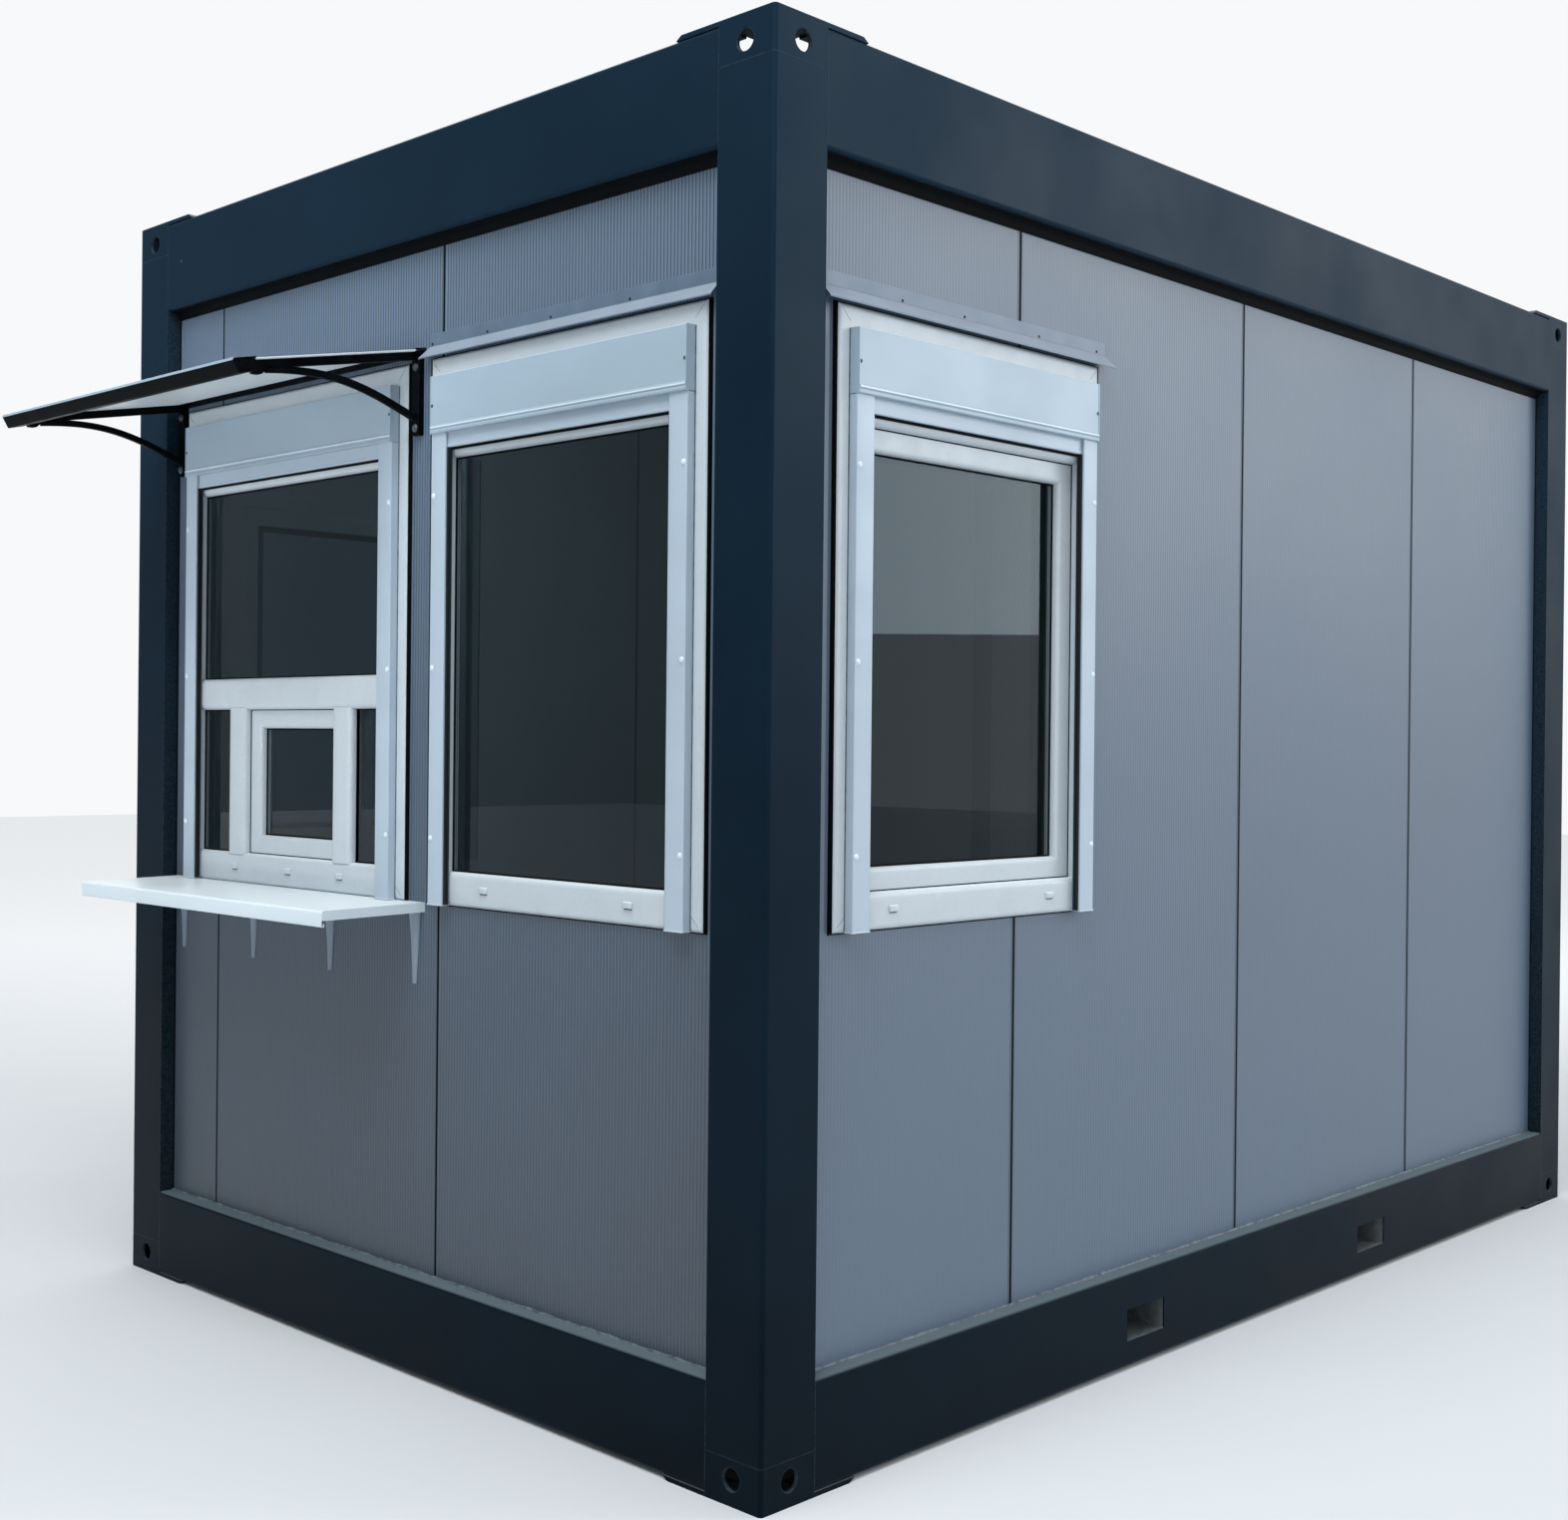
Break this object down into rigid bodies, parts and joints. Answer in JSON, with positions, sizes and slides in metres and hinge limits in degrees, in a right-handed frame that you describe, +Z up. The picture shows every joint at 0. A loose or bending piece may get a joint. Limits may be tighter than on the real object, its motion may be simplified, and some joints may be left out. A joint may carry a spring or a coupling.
{
  "type": "security guard booth",
  "caption": "Security guard booth: cabin on a dark steel frame with grey sandwich walls, white windows with shutter guides, and a serving hatch under a clear canopy",
  "frame": {"origin": "on the ground, at the middle of the footprint of the four corner posts", "axes": "+Z up; the wall with the serving hatch and canopy faces -Y; the long walls face -X and +X; the door is in the wall that faces +Y"},
  "size_m": [2.5, 4.4133, 2.97],
  "materials": {
    "frame_paint": "anthracite gloss paint",
    "panel_paint": "blue-grey coil coating",
    "zinc_steel": "galvanised",
    "floor_board": "sealed board",
    "ceiling_board": "white laminate",
    "window_plastic": "white, smooth",
    "window_glass": "clear double glazing",
    "shutter_paint": "pale grey-white powder coat",
    "canopy_paint": "near-black satin",
    "canopy_clear": "milky clear acrylic",
    "handle_metal": "brushed"
  },
  "bodies": {
    "root": {"bottom_rail_back": "frame_paint", "bottom_rail_front": "frame_paint", "bottom_rail_left": "frame_paint", "bottom_rail_right": "frame_paint", "canopy_brackets": "canopy_paint", "canopy_rails": "canopy_paint", "canopy_sheet": "canopy_clear", "ceiling": "ceiling_board", "corner_blocks_bottom": "frame_paint", "corner_blocks_top": "frame_paint", "corner_posts": "frame_paint", "door_frame": "frame_paint", "door_handle": "handle_metal", "door_hinges": "handle_metal", "door_leaf": "panel_paint", "drip_flashings": "panel_paint", "floor_deck": "floor_board", "floor_joists": "zinc_steel", "floor_tray": "zinc_steel", "fork_tunnels": "frame_paint", "roof_joists": "zinc_steel", "roof_sheet": "zinc_steel", "sash_hatch": "window_plastic", "sash_left": "window_plastic", "sash_right": "window_plastic", "shelf": "panel_paint", "shelf_brackets": "panel_paint", "shutter_box_front": "shutter_paint", "shutter_box_hatch": "shutter_paint", "shutter_box_left": "shutter_paint", "shutter_box_right": "shutter_paint", "shutter_end_slats": "shutter_paint", "shutter_guides": "shutter_paint", "top_rail_back": "frame_paint", "top_rail_front": "frame_paint", "top_rail_left": "frame_paint", "top_rail_right": "frame_paint", "wall_back": "panel_paint", "wall_front": "panel_paint", "wall_left": "panel_paint", "wall_right": "panel_paint", "window_frame_front": "window_plastic", "window_frame_hatch": "window_plastic", "window_frame_left": "window_plastic", "window_frame_right": "window_plastic", "window_panes": "window_glass"}
  },
  "joints": []
}
